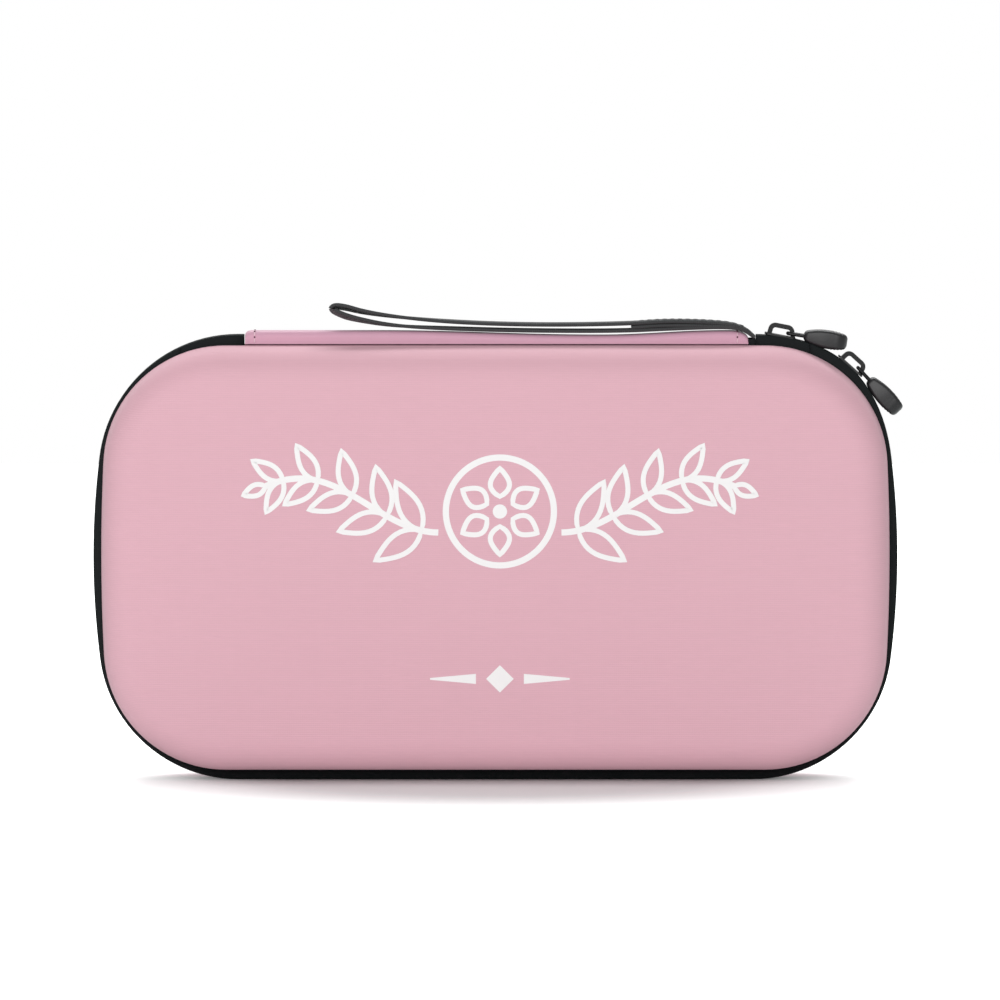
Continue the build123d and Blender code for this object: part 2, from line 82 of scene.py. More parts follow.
# ---------------------------------------------------------------- spine and strap
HINGE_LEFT = -83.91
HINGE_RIGHT = 84.81
HINGE_HALF_W = 4.7
HINGE_RISE = 4.7
HINGE_DIP = 1.5
HINGE_DIP_X = 35.0
HINGE_DIP_LEFT = 75.0
HINGE_DIP_RIGHT = 42.0
HINGE_FOOT = 0.35
HINGE_LINING_HALF_W = 4.1
HINGE_LINING_T = 0.12
HINGE_SHOULDER_R = 2.3
HINGE_LEFT_RUN = 2.0
HINGE_LEFT_FALL = 1.4
HINGE_RIGHT_RUN = 6.0
HINGE_RIGHT_FALL = 2.6
STITCH_LEFT_X = -80.7       # the two rows across the ends of the strip
STITCH_RIGHT_X = 81.1
STITCH_L = 1.6
STITCH_PITCH = 2.3
STITCH_R = 0.22
HOLE_HALF_L = 0.3
HOLE_R = 0.26
ROOT_X = 86.06
ROOT_Z = 149.5
ROOT_R = 0.85
WEBBING_T = 1.15
WEBBING_HALF_W = 4.6
# The webbing's centre line: distance left of the root, height over it.
STRAP_LOOP = [(-0.8, -0.7), (2.2, 2.1), (8.5, 4.1), (28.0, 4.8), (42.0, 3.7), (75.0, 3.3),
              (105.0, 4.5), (128.0, 7.0), (139.0, 9.9), (141.2, 8.8), (139.2, 7.3),
              (134.0, 5.4), (120.0, 2.9), (100.0, 2.05), (75.0, 1.4), (45.0, 1.3),
              (28.0, 2.1), (8.5, 2.8), (2.7, 1.8), (-0.8, -0.7)]
STRAP_TAIL = [(5.0, 2.9), (28.0, 3.45), (40.5, 2.6)]
TWIST = math.radians(11.0)  # the loop's far end turns its face to the front
TWIST_FROM = 95.0           # distance left of the root
TWIST_TO = 136.0
STRAP_SEAM_Y = 3.2          # two rows of stitches along the sewn section
STRAP_STITCH_L = 1.9
STRAP_STITCH_PITCH = 2.6
STRAP_THREAD_R = 0.14
LOOP_OPENS_AT = 75.0        # the layers part here, left of the root
LOOP_OPEN_L = 66.0
LOOP_MIDDLE = 2.4           # height halfway between the layers, over the root
LOOP_MIDDLE_RISE = 6.4      # ... and what it gains by the far end

# ---------------------------------------------------------------- inside
HOLD_HALF_W = 10.0
HOLD_T = 1.0
HOLD_Y = 22.41
HOLD_REACH = 48.0
HOLD_OVERLAP = 15.0
PATCH_T = 0.6
PATCH_HALF_L = 13.0
PATCH_HALF_W = 9.0
NET_Y = 10.0
NET_TOP = 82.0
NET_INSET = 5.2
HEM_H = 9.0
HEM_T = 1.6
COIL_PITCH = 1.27
COIL_WIRE_R = 0.24
COIL_HALF_W = 0.95         # the two halves reach past the middle, between each other
COIL_HALF_H = 0.62
COIL_Y = 0.75
LID_COIL_FROM = math.radians(84.0)

# ---------------------------------------------------------------- print on the lid
INK_LINE = 2.1
INK_LEAF_LINE = 1.7
INK_OVER = 0.04             # each layer of ink stands this far off the one below
INK_X = 1.5
INK_Z = 92.0
RING_R = 18.0
SPRIG_FROM = 20.5           # the stem's foot, from the middle of the ring
SPRIG_REACH = 57.66
SPRIG_SWING = 9.0           # the stem's wave
SPRIG_RAISE = 2.0
SPRIG_TURNS = 1.25
LEAF_PAIRS = 5
LEAF_ANGLE = 48
LEAF_L = 18.5
LEAF_SHRINK = 1.6           # each pair is this much shorter than the one before
LEAF_SLIM = 0.38            # width over length
END_LEAF_L = 8.0
END_LEAF_W = 3.6
FLOWER_HEART_R = 2.4
PETAL_FROM = 5.0
PETAL_L = 9.5
PETAL_W = 6.4
RULE_Z = 36.0
RULE_W = 3.4
DIAMOND = 4.6

# ---------------------------------------------------------------- pull tags
EYES = ((98.16, 149.99, -9.0), (121.75, 138.38, -47.0))   # x, z and heading of each pull
TAG_FROM = 5.4
TAG_L = 14.7
TAG_NEAR_T = 3.2
TAG_T = 6.0
TAG_FAR_T = 4.4
TAG_NEAR_W = 6.6
TAG_W = 9.0
TAG_WIDENS_TO = 8.0
TAG_FAR_R = 3.6             # corners of its far end, seen from over it
TAG_EDGE_R = 1.1
TAG_RIBS_FROM = 9.3
TAG_RIB_STEP = 1.15
TAG_RIB_DEPTH = 0.07

# ---------------------------------------------------------------- camera
PHOTO_MM = 0.33549          # one pixel of the photograph at the case's rim
VIEW_X = 1.54
VIEW_Z = 94.24
VIEW_DISTANCE = 3200.0
VIEW_RISE = math.radians(4.0)
IMAGE_PX = 1000
GLOW_FADE_X = 148.0            # reach of the table's painted glow, which rises from none near the case to plain white and so cuts the case's shadow short
GLOW_FADE_Y = 112.0
TABLE_HALF = 1600.0
WORLD_LEVEL = 0.45
KEY_WATTS = 19
BACK_WATTS = 11


class Outline:
    """A rounded rectangle with bowed short sides, seen from the front."""

    def __init__(self, half_width, half_height, corner_r, side_r):
        self.half_width = half_width
        self.half_height = half_height
        self.corner_r = corner_r
        self.side_r = side_r
        rise = half_height - corner_r
        run = math.sqrt((side_r - corner_r) ** 2 - rise ** 2)
        self.corner_x = half_width - side_r + run
        self.corner_z = rise
        self.side_angle = math.atan2(rise, run)

    def inset(self, distance):
        """The parallel outline that lies inside this one."""
        return Outline(self.half_width - distance, self.half_height - distance,
                       self.corner_r - distance, self.side_r - distance)

    def toward(self, other, share):
        """An outline between this one and the other."""
        def mix(a, b):
            return a + (b - a) * share
        return Outline(mix(self.half_width, other.half_width),
                       mix(self.half_height, other.half_height),
                       mix(self.corner_r, other.corner_r),
                       mix(self.side_r, other.side_r))

    def half_width_at(self, z):
        """Half the width at a height over the middle."""
        if abs(z) > self.corner_z:
            up = min(abs(z) - self.corner_z, self.corner_r)
            return self.corner_x + math.sqrt(self.corner_r ** 2 - up ** 2)
        return self.half_width - self.side_r + math.sqrt(self.side_r ** 2 - z ** 2)

    def at(self, run, share):
        """A point at a share of one of eight runs, clockwise from the top left."""
        turned = run >= 3 and run <= 6
        half = -1 if turned else 1
        side = 1 if run in (1, 2, 3) else -1
        if run in (0, 4):
            return (half * self.corner_x * (2 * share - 1), half * self.half_height)
        if run in (2, 6):
            angle = self.side_angle * (1 - 2 * share)
            x = self.half_width - self.side_r + self.side_r * math.cos(angle)
            return (side * x, side * self.side_r * math.sin(angle))
        quarter = math.pi / 2 - self.side_angle
        falling = run in (1, 5)
        angle = self.side_angle + quarter * ((1 - share) if falling else share)
        up = 1 if run in (1, 7) else -1
        return (side * (self.corner_x + self.corner_r * math.cos(angle)),
                up * (self.corner_z + self.corner_r * math.sin(angle)))


CREST = Outline(CASE_WIDTH / 2, CASE_HEIGHT / 2, CREST_CORNER_R, CREST_SIDE_R)
RIM = Outline(CASE_WIDTH / 2 - RIM_SIDE_STEP, CASE_HEIGHT / 2 - RIM_LONG_STEP,
              RIM_CORNER_R, RIM_SIDE_R)
FOLD_Z = MID_Z + RIM.half_height


def stations():
    """Places all round the outline: run, share, and the way gone along the crest."""
    places = []
    gone = 0.0
    last = CREST.at(0, 0)
    for run in range(8):
        for step in range(RUN_STEPS):
            places.append((run, step / RUN_STEPS))
    places.append((7, 1.0))
    rows = []
    for run, share in places:
        here = CREST.at(run, share)
        gone += math.dist(last, here)
        last = here
        rows.append((run, share, gone))
    return rows


STATIONS = stations()


def crowned_depth(x, z, apex):
    """Depth of the crowned face behind the parting plane; z is from the middle."""
    sag_x = FACE_CROWN * (x / RIM.half_width) ** 2
    sag_z = FACE_CROWN * (z / RIM.half_height) ** 2
    return apex - sag_x - sag_z


# ---------------------------------------------------------------- mesh making
def keep_object(name, mesh, material, smooth_under=35):
    mesh.materials.append(material)
    for polygon in mesh.polygons:
        polygon.use_smooth = True
    mesh.set_sharp_from_angle(angle=math.radians(smooth_under))
    piece = bpy.data.objects.new(name, mesh)
    bpy.context.scene.collection.objects.link(piece)
    return piece


def skin(name, columns, material, solid=False, smooth_under=35):
    """A surface through columns of ((x, y, z), (u, v)), all in millimetres."""
    shape = bmesh.new()
    uv_layer = shape.loops.layers.uv.new("weave")
    grid = [[shape.verts.new(Vector(place) * MM) for place, _ in column] for column in columns]
    for i in range(len(columns) - 1):
        for j in range(len(columns[i]) - 1):
            corners = ((i, j), (i + 1, j), (i + 1, j + 1), (i, j + 1))
            face = shape.faces.new([grid[a][b] for a, b in corners])
            for loop, (a, b) in zip(face.loops, corners):
                loop[uv_layer].uv = columns[a][b][1]
    bmesh.ops.remove_doubles(shape, verts=shape.verts, dist=0.002 * MM)
    if solid:
        open_edges = [edge for edge in shape.edges if edge.is_boundary]
        bmesh.ops.holes_fill(shape, edges=open_edges, sides=0)
    bmesh.ops.recalc_face_normals(shape, faces=shape.faces)
    mesh = bpy.data.meshes.new(name)
    shape.to_mesh(mesh)
    shape.free()
    return keep_object(name, mesh, material, smooth_under)


def mirrored(columns):
    """The same columns on the other side of the parting plane."""
    return [[((x, -y, z), uv) for (x, y, z), uv in column] for column in columns]


def cut_seams(piece, keep_ends, gap):
    """Cut a ring of the zip at its two seams and keep one share of it."""
    mesh = piece.data
    shape = bmesh.new()
    shape.from_mesh(mesh)
    for x in (-SEAM_X - gap, SEAM_X + gap):
        everything = shape.verts[:] + shape.edges[:] + shape.faces[:]
        bmesh.ops.bisect_plane(shape, geom=everything, plane_co=(x * MM, 0, 0),
                               plane_no=(1, 0, 0), dist=1e-7)
    gone = []
    for face in shape.faces:
        centre = face.calc_center_median()
        spine = centre.z > MID_Z * MM and abs(centre.x) < (SEAM_X + gap) * MM
        if spine != keep_ends:
            gone.append(face)
    bmesh.ops.delete(shape, geom=gone, context="FACES")
    open_edges = [edge for edge in shape.edges if edge.is_boundary]
    bmesh.ops.holes_fill(shape, edges=open_edges, sides=0)
    shape.to_mesh(mesh)
    shape.free()


def cut_between(piece, x0, x1):
    """Keep the part of a piece between two distances along the case."""
    mesh = piece.data
    shape = bmesh.new()
    shape.from_mesh(mesh)
    for x, way in ((x0, -1), (x1, 1)):
        everything = shape.verts[:] + shape.edges[:] + shape.faces[:]
        bmesh.ops.bisect_plane(shape, geom=everything, plane_co=(x * MM, 0, 0),
                               plane_no=(way, 0, 0), dist=1e-7, clear_outer=True)
    gone = [face for face in shape.faces if face.calc_center_median().z < MID_Z * MM]
    bmesh.ops.delete(shape, geom=gone, context="FACES")
    open_edges = [edge for edge in shape.edges if edge.is_boundary]
    bmesh.ops.holes_fill(shape, edges=open_edges, sides=0)
    shape.to_mesh(mesh)
    shape.free()


def cut_above(piece, z):
    """Take away what lies over a height."""
    mesh = piece.data
    shape = bmesh.new()
    shape.from_mesh(mesh)
    everything = shape.verts[:] + shape.edges[:] + shape.faces[:]
    bmesh.ops.bisect_plane(shape, geom=everything, plane_co=(0, 0, z * MM),
                           plane_no=(0, 0, 1), dist=1e-7, clear_outer=True)
    open_edges = [edge for edge in shape.edges if edge.is_boundary]
    bmesh.ops.holes_fill(shape, edges=open_edges, sides=0)
    shape.to_mesh(mesh)
    shape.free()


def settle(piece, body, slot, *nodes):
    """Tie a piece to its body and hide the nodes that it stands for; slot is not used."""
    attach(piece, body)
    if nodes:
        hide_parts(*nodes)
    return piece


# ---------------------------------------------------------------- materials
def srgb(red, green, blue):
    """A colour of 0 to 255, as the shader wants it."""
    def linear(value):
        share = value / 255
        if share <= 0.04045:
            return share / 12.92
        return ((share + 0.055) / 1.055) ** 2.4
    return (linear(red), linear(green), linear(blue), 1.0)


class Shader:
    """A material in the making, with short ways to add and join its nodes."""

    def __init__(self, name, colour, rough, **sockets):
        self.material = bpy.data.materials.new(name)
        self.material.use_nodes = True
        self.material.diffuse_color = colour
        self.tree = self.material.node_tree
        self.base = self.tree.nodes["Principled BSDF"]
        self.base.inputs["Base Color"].default_value = colour
        self.base.inputs["Roughness"].default_value = rough
        for socket, value in sockets.items():
            self.base.inputs[socket.replace("_", " ")].default_value = value

    def add(self, kind, settings=None, **inputs):
        made = self.tree.nodes.new(kind)
        for name, value in (settings or {}).items():
            setattr(made, name, value)
        for name, value in inputs.items():
            self.feed(value, made.inputs[name.replace("_", " ")])
        return made

    def feed(self, value, socket):
        if hasattr(value, "is_linked"):
            self.tree.links.new(value, socket)
        else:
            socket.default_value = value

    def math(self, operation, a, b=0.0):
        made = self.tree.nodes.new("ShaderNodeMath")
        made.operation = operation
        self.feed(a, made.inputs[0])
        self.feed(b, made.inputs[1])
        return made.outputs[0]

    def uv(self, scale=(1, 1, 1)):
        """The weave's own coordinates, in millimetres, stretched by a scale."""
        source = self.add("ShaderNodeUVMap", {"uv_map": "weave"})
        return self.add("ShaderNodeMapping", Vector=source.outputs["UV"],
                        Scale=scale).outputs["Vector"]

    def place(self, scale=1.0):
        """The place on the object in millimetres, times a scale."""
        source = self.add("ShaderNodeTexCoord")
        size = (scale / MM,) * 3
        return self.add("ShaderNodeMapping", Vector=source.outputs["Object"],
                        Scale=size).outputs["Vector"]

    def wave(self, vector, period, direction):
        """Even bands of a period, across X, Y or the diagonal."""
        made = self.add("ShaderNodeTexWave",
                        {"wave_type": "BANDS", "bands_direction": direction},
                        Vector=vector, Scale=math.pi / 10 / period, Distortion=0.0)
        return made.outputs["Fac"]

    def noise(self, vector, scale, detail=2.0):
        return self.add("ShaderNodeTexNoise", Vector=vector, Scale=scale,
                        Detail=detail).outputs["Fac"]

    def shade(self, factor, dark, light):
        """Colour between two by a factor from 0 to 1."""
        ramp = self.add("ShaderNodeValToRGB", Fac=factor)
        ramp.color_ramp.elements[0].color = dark
        ramp.color_ramp.elements[1].color = light
        return ramp.outputs["Color"]

    def paint(self, colour):
        self.feed(colour, self.base.inputs["Base Color"])

    def bump(self, height, distance, strength=1.0, after=None):
        """Relief in millimetres."""
        made = self.add("ShaderNodeBump", Height=height, Distance=distance * MM,
                        Strength=strength)
        if after is not None:
            self.feed(after, made.inputs["Normal"])
        self.feed(made.outputs["Normal"], self.base.inputs["Normal"])
        return made.outputs["Normal"]

    def vary_roughness(self, factor, low, high):
        ranged = self.add("ShaderNodeMapRange", Value=factor, To_Min=low, To_Max=high)
        self.feed(ranged.outputs["Result"], self.base.inputs["Roughness"])


def tinted(colour, factor):
    return (colour[0] * factor, colour[1] * factor, colour[2] * factor, 1.0)


def woven(name, colour, pitch, contrast, relief, **sockets):
    """A plain weave with slubs along its threads."""
    made = Shader(name, colour, 0.85, **sockets)
    weft = made.wave(made.uv(), pitch, "Y")
    warp = made.wave(made.uv(), pitch, "X")
    slub = made.noise(made.uv((0.12, 2.2, 1)), 1.0, 3.0)
    cloud = made.noise(made.uv((0.02, 0.03, 1)), 1.0, 1.0)
    cross = made.math("ADD", made.math("MULTIPLY", weft, 0.62), made.math("MULTIPLY", warp, 0.18))
    height = made.math("ADD", cross, made.math("MULTIPLY", slub, 0.9))
    slub_tone_and_hollow_shade = made.math("ADD", made.math("MULTIPLY", height, 0.5), made.math("MULTIPLY", cloud, 0.15))
    # the colour follows the threads' height, so the hollows between threads are painted darker
    # (painted shade), with the slubs' and clouds' own random tone on top
    made.paint(made.shade(slub_tone_and_hollow_shade, tinted(colour, 1 - contrast), tinted(colour, 1 + contrast)))
    made.bump(height, relief)
    return made.material


def ribbed(name, colour, rib, fine, contrast, relief, rough=0.8, **sockets):
    """Webbing or tape, with ribs along its length and fine threads across."""
    made = Shader(name, colour, rough, **sockets)
    ribs = made.wave(made.uv(), rib, "Y")
    threads = made.wave(made.uv(), fine, "X")
    fuzz = made.noise(made.uv((1.5, 1.5, 1)), 1.0, 2.0)
    height = made.math("ADD", made.math("MULTIPLY", ribs, 0.5),
                       made.math("MULTIPLY", threads, 0.35))
    height = made.math("ADD", height, made.math("MULTIPLY", fuzz, 0.4))
    # the colour follows the ribs' height, so their hollows are painted darker (painted shade), with
    # the fuzz's random tone mixed in
    made.paint(made.shade(height, tinted(colour, 1 - contrast), tinted(colour, 1 + contrast)))
    made.bump(height, relief)
    return made.material


def grained(name, colour, rough, grain, relief, contrast=0.1, **sockets):
    """Moulded rubber, enamel or a coated cloth, with a fine grain."""
    made = Shader(name, colour, rough, **sockets)
    fine = made.noise(made.place(), grain, 3.0)
    broad = made.noise(made.place(), grain * 0.08, 2.0)
    made.paint(made.shade(broad, tinted(colour, 1 - contrast), tinted(colour, 1 + contrast)))
    made.vary_roughness(broad, rough * 0.85, rough * 1.15)
    made.bump(fine, relief)
    return made.material


PINK = srgb(224, 176, 188)
COVER = woven("pink_weave", PINK, 0.62, 0.075, 0.045, Sheen_Weight=0.08, Specular_IOR_Level=0.25)
SPINE = grained("mauve_coated_cloth", srgb(214, 166, 186), 0.55, 2.2, 0.03, 0.03,
                Sheen_Weight=0.15, Specular_IOR_Level=0.35)
INK = grained("white_ink", srgb(244, 241, 241), 0.55, 3.0, 0.01, 0.015)
TAPE = ribbed("zip_knit", srgb(25, 29, 30), 0.75, 0.8, 0.25, 0.06, Specular_IOR_Level=0.15)
WEBBING = ribbed("grey_webbing", srgb(58, 60, 61), 1.15, 0.7, 0.35, 0.12)
EDGING = ribbed("edging_tape", srgb(46, 47, 50), 0.9, 0.6, 0.25, 0.08)
LINING = grained("brushed_lining", srgb(78, 79, 84), 0.95, 1.2, 0.12, 0.2, Sheen_Weight=0.3)
# the net is a solid sheet; its high contrast paints its holes dark, painted shade seen through the
# holes, over the thread's own colour
NET = ribbed("fine_net", srgb(52, 53, 57), 1.6, 1.6, 0.7, 0.3)
NYLON = grained("black_nylon", srgb(30, 31, 33), 0.4, 2.0, 0.01)
ENAMEL = grained("black_enamel", srgb(20, 21, 23), 0.36, 1.5, 0.012, 0.1,
                 Coat_Weight=0.06, Coat_Roughness=0.2, Specular_IOR_Level=0.3)
RUBBER = grained("black_rubber", srgb(29, 29, 31), 0.42, 1.6, 0.03, 0.1)
FUZZ = grained("hook_and_loop", srgb(36, 37, 40), 0.95, 3.5, 0.25, 0.3, Sheen_Weight=0.2)
FOAM = grained("pressed_foam", srgb(60, 60, 63), 0.9, 2.5, 0.1)
THREAD = grained("pink_thread", srgb(236, 205, 214), 0.7, 4.0, 0.02)
DARK_THREAD = grained("dark_thread", srgb(52, 53, 56), 0.7, 4.0, 0.02)
# needle holes: painted shade of the holes' pits, a dark mauve mark in each gap between stitches
NEEDLE_HOLE_SHADE = grained("needle_hole", srgb(92, 52, 66), 0.9, 4.0, 0.02)


# ---------------------------------------------------------------- shells
def bowl_column(run, share, inset, edge_r, arc_steps=12, face_steps=14):
    """One column of a shell's surface, from its rim to the middle of its face."""
    rim = RIM.inset(inset)
    apex = BAND_HALF + SHELL_DEPTH - inset
    tilt = math.tan(WALL_DRAFT)
    centre_in = edge_r
    for _ in range(4):
        x, z = rim.inset(centre_in).at(run, share)
        xb, zb = rim.inset(centre_in + 1).at(run, share)
        slope = crowned_depth(xb, zb, apex) - crowned_depth(x, z, apex)
        lean = math.hypot(1, slope)
        centre_y = crowned_depth(x, z, apex) - edge_r * lean
        centre_in = edge_r / math.cos(WALL_DRAFT) + (centre_y - BAND_HALF) * tilt
    start = math.pi - WALL_DRAFT
    end = math.pi / 2 + math.atan(slope)
    profile = []
    wall_top = centre_y + edge_r * math.sin(start)
    for step in range(5):
        y = BAND_HALF + (wall_top - BAND_HALF) * step / 5
        profile.append(((y - BAND_HALF) * tilt, y))
    for step in range(arc_steps + 1):
        angle = start + (end - start) * step / arc_steps
        profile.append((centre_in + edge_r * math.cos(angle), centre_y + edge_r * math.sin(angle)))
    lengths = [0.0]
    for a, b in zip(profile, profile[1:]):
        lengths.append(lengths[-1] + math.dist(a, b))
    column = []
    for (deep, y), gone in zip(profile, lengths):
        x, z = rim.inset(deep).at(run, share)
        flat = rim.inset(profile[-1][0] - (lengths[-1] - gone)).at(run, share)
        column.append(((x, y, MID_Z + z), flat))
    edge_x, edge_z = rim.inset(profile[-1][0]).at(run, share)
    reach = rim.half_width - rim.half_height
    heart_x = max(-reach, min(reach, edge_x))
    for step in range(1, face_steps + 1):
        t = step / face_steps
        x = edge_x + (heart_x - edge_x) * t
        z = edge_z * (1 - t)
        column.append(((x, crowned_depth(x, z, apex), MID_Z + z), (x, z)))
    return column


def cover(name, body, flip):
    """The woven skin of one shell, with its turned-in lip at the rim."""
    columns = []
    for run, share, _ in STATIONS:
        column = bowl_column(run, share, 0, FACE_EDGE_R)
        lip = []
        for deep, y in ((COVER_T, BAND_HALF), (LIP_R, BAND_HALF), (0.05, BAND_HALF + 0.15)):
            x, z = RIM.inset(deep).at(run, share)
            lip.append(((x, y, MID_Z + z), column[0][1]))
        first = RIM.inset(0.4 * math.tan(WALL_DRAFT)).at(run, share)
        column[0] = ((first[0], BAND_HALF + 0.4, MID_Z + first[1]), column[0][1])
        columns.append(lip + column)
    if flip:
        columns = mirrored(columns)
    piece = skin(name, columns, COVER, smooth_under=60)
    return settle(piece, body, "cover_weave", f"{body}_cover_fabric")


def inner_lining(name, body, flip):
    columns = [bowl_column(run, share, WALL_T, FACE_EDGE_R - WALL_T)
               for run, share, _ in STATIONS]
    if flip:
        columns = mirrored(columns)
    piece = skin(name, columns, LINING, smooth_under=60)
    return settle(piece, body, "brushed_lining", f"{body}_lining")


def tape_lift(run, share):
    """How far the sliders hold the tape up, on their corner alone."""
    return TAPE_SWELL * math.sin(math.pi * share) ** 2 if run == 1 else 0.0


def band_columns(profile):
    """Columns round the case through a profile of (outline, y, share of the tape's lift)."""
    columns = []
    for run, share, gone in STATIONS:
        column = []
        across = 0.0
        last = None
        for outline, y, lifted in profile:
            x, z = outline.inset(-lifted * tape_lift(run, share)).at(run, share)
            here = (x, y, MID_Z + z)
            if last is not None:
                across += math.dist(last, here)
            last = here
            column.append((here, (gone, across)))
        columns.append(column)
    return columns


def binding(name, body, flip):
    """The tape bound over the inner edge of the rim."""
    tilt = math.tan(WALL_DRAFT)
    y0 = BAND_HALF - 0.05 - BINDING_T
    y1 = BAND_HALF + BINDING_LEG
    outer = WALL_T + 0.05
    inner = outer + BINDING_T
    profile = [(0.9, BAND_HALF - 0.1), (1.1, y0), (inner - 0.3, y0), (inner, y0 + 0.3),
               (inner + BINDING_LEG * tilt, y1 - 0.2), (inner - 0.2 + BINDING_LEG * tilt, y1),
               (outer + BINDING_LEG * tilt, y1)]
    columns = band_columns([(RIM.inset(deep), y, 0) for deep, y in profile])
    if flip:
        columns = mirrored(columns)
    piece = skin(name, columns, EDGING, smooth_under=50)
    return settle(piece, body, "bound_edge", f"{body}_rim_binding")


# ---------------------------------------------------------------- zip
def tape_profile(edge_y):
    """The tape's section: a flat crest that rolls over to the rim, and back inside."""
    outside = [(CREST.inset(0.2), TAPE_EDGE_GAP, 1), (CREST, TAPE_EDGE_GAP + 0.2, 1),
               (CREST, TAPE_FLAT / 2, 1), (CREST, TAPE_FLAT, 1)]
    inside = [(CREST.inset(TAPE_T), TAPE_EDGE_GAP, 1), (CREST.inset(TAPE_T), TAPE_FLAT, 1)]
    steps = 8
    for step in range(1, steps + 1):
        turn = math.pi / 2 * step / steps
        outline = CREST.toward(RIM, 1 - math.cos(turn))
        y = TAPE_FLAT + (edge_y - TAPE_FLAT) * math.sin(turn)
        outside.append((outline, y, math.cos(turn)))
        inside.append((outline.inset(TAPE_T), y, math.cos(turn)))
    return outside + inside[::-1] + outside[:1]


def long_tape(name, body, flip):
    columns = band_columns(tape_profile(BAND_HALF - 0.05))
    if flip:
        columns = mirrored(columns)
    piece = skin(name, columns, TAPE)
    cut_seams(piece, False, SEAM_GAP / 2)
    return settle(piece, body, "zip_tape", f"{body}_zip_tape")


def end_tapes():
    """The short closed ends of the zip, both halves, carried by the spine."""
    columns = band_columns(tape_profile(BAND_HALF - 0.3))
    for side, x0, x1 in (("right", END_RIGHT_FROM, SEAM_X - SEAM_GAP / 2),
                         ("left", -SEAM_X + SEAM_GAP / 2, END_LEFT_TO)):
        for half, rows in (("back", columns), ("front", mirrored(columns))):
            piece = skin(f"zip_end_{side}_{half}", rows, TAPE)
            cut_between(piece, x0, x1)
            settle(piece, "spine", "zip_tape", f"zip_end_tape_{side}")
    for half, rows in (("back", columns), ("front", mirrored(columns))):
        piece = skin(f"zip_end_root_{half}", rows, TAPE)
        cut_between(piece, HINGE_RIGHT + 0.05, END_RIGHT_FROM - 0.05)
        cut_above(piece, ROOT_Z - ROOT_R - END_LOW_BY)
        settle(piece, "spine", "zip_tape")


def coil(name, body, flip):
    """One half of the chain: a flattened spiral of nylon sewn along the tape."""
    points = []
    middle = CREST.inset(TAPE_T + 0.05 + COIL_HALF_H)
    steps_per_turn = 8
    gone = 0.0
    last = middle.at(0, 0)
    for run in range(8):
        for step in range(RUN_STEPS * 12):
            share = step / (RUN_STEPS * 12)
            here = middle.at(run, share)
            gone += math.dist(last, here)
            last = here
            points.append((gone, run, share))
    lines = []
    line = []
    wanted = 0.0
    turn = math.pi if flip else 0.0
    for gone, run, share in points:
        if gone < wanted:
            continue
        wanted += COIL_PITCH / steps_per_turn
        turn += 2 * math.pi / steps_per_turn
        deep = TAPE_T + 0.05 + COIL_HALF_H - (COIL_HALF_H - COIL_WIRE_R) * math.cos(turn)
        ring = CREST.inset(deep)
        x, z = ring.at(run, share)
        y = COIL_Y + (COIL_HALF_W - COIL_WIRE_R) * math.sin(turn)
        in_spine = z > 0 and abs(x) < SEAM_X
        corner_from = CREST.corner_z + CREST.corner_r * math.cos(LID_COIL_FROM)
        in_slider = flip and x > 0 and z > corner_from
        if in_spine or in_slider:
            if line:
                lines.append(line)
            line = []
        else:
            line.append((x, -y if flip else y, MID_Z + z))
    lines = [line for line in lines + [line] if len(line) > 1]
    piece = tubes(name, lines, COIL_WIRE_R, 5, NYLON)
    return settle(piece, body, "zip_chain", f"{body}_zip_coil")


# ---------------------------------------------------------------- spine strip
def crown_height(x):
    """Height of the strip's crown over the fold lines, at a distance along it."""
    away = x - HINGE_DIP_X
    reach = HINGE_DIP_RIGHT if away > 0 else HINGE_DIP_LEFT
    height = HINGE_RISE
    if abs(away) < reach:
        height -= HINGE_DIP * (1 + math.cos(math.pi * away / reach)) / 2
    for inward, run, fall in ((x - HINGE_LEFT, HINGE_LEFT_RUN, HINGE_LEFT_FALL),
                              (HINGE_RIGHT - x, HINGE_RIGHT_RUN, HINGE_RIGHT_FALL)):
        if inward < run:
            height -= fall * (1 - math.sqrt(1 - (1 - inward / run) ** 2))
    return height


def arch(x, grow=0.0, steps=8):
    """The strip's section, from its front foot over its crown to its back foot."""
    crown = FOLD_Z + crown_height(x) + grow
    foot = FOLD_Z + HINGE_FOOT
    half_w = HINGE_HALF_W + grow
    radius = HINGE_SHOULDER_R + grow
    front = [(-half_w, foot)]
    for step in range(steps + 1):
        turn = math.pi / 2 * step / steps
        y = -half_w + radius * (1 - math.cos(turn))
        z = max(foot, crown - radius * (1 - math.sin(turn)))
        front.append((y, z))
    back = [(-y, z) for y, z in front[::-1]]
    return front + [(0.0, crown)] + back


def strip_stations():
    """Distances along the strip, closer together where its crown falls."""
    left = [HINGE_LEFT + HINGE_LEFT_RUN * (step / 8) ** 2 for step in range(8)]
    right = [HINGE_RIGHT - HINGE_RIGHT_RUN * (step / 12) ** 2 for step in range(11, -1, -1)]
    first = HINGE_LEFT + HINGE_LEFT_RUN
    last = HINGE_RIGHT - HINGE_RIGHT_RUN
    count = 80
    return left + [first + (last - first) * i / count for i in range(count + 1)] + right


def spine_strip():
    columns = []
    for x in strip_stations():
        across = 0.0
        column = []
        last = None
        for y, z in arch(x) + arch(x)[:1]:
            if last is not None:
                across += math.dist(last, (y, z))
            last = (y, z)
            column.append(((x, y, z), (x, across)))
        columns.append(column)
    piece = skin("spine_strip", columns, SPINE, solid=True, smooth_under=50)
    return settle(piece, "spine", "spine_fabric", "hinge_strip")


def spine_lining():
    columns = []
    low = FOLD_Z + HINGE_FOOT - HINGE_LINING_T
    for x in (HINGE_LEFT + 1, 0, HINGE_RIGHT - 1):
        places = (-HINGE_LINING_HALF_W, 0.0, HINGE_LINING_HALF_W)
        columns.append([((x, y, low), (x, y)) for y in places])
    piece = skin("spine_lining", columns, LINING)
    return settle(piece, "spine", "brushed_lining", "hinge_lining")


